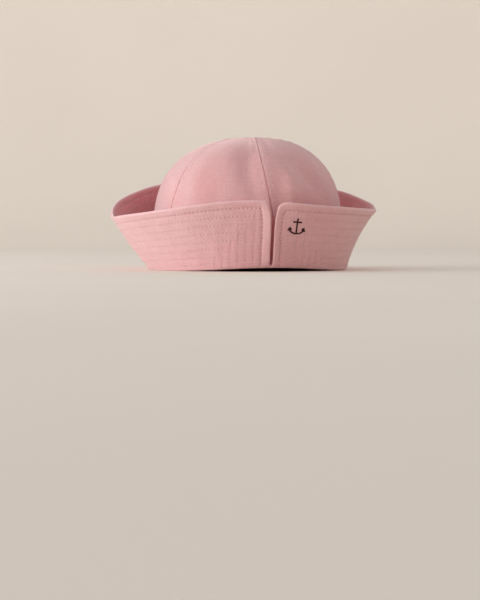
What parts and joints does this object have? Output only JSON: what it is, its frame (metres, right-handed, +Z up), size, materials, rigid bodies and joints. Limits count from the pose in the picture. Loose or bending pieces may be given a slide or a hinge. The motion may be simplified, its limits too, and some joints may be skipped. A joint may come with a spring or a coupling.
{
  "type": "sailor cap",
  "caption": "Round panelled cloth crown with a deep turned-up double-cloth brim, split at the back; worn on the head and standing on the fold of its brim.",
  "frame": {"origin": "middle of the whole cap's box, on the surface that the fold of the brim rests on", "axes": "+Z up, -Y towards the front of the cap, +X towards the wearer's left"},
  "size_m": [0.2427, 0.2463, 0.1181],
  "materials": {
    "crown_cloth": "matt dusty-pink cotton twill",
    "brim_cloth": "matt dusty-pink cotton twill, quilted"
  },
  "bodies": {
    "root": {"crown_panel_back_left": "crown_cloth", "crown_panel_side_left": "crown_cloth", "crown_panel_front": "crown_cloth", "crown_panel_side_right": "crown_cloth", "crown_panel_back_right": "crown_cloth", "brim": "brim_cloth"}
  },
  "joints": []
}
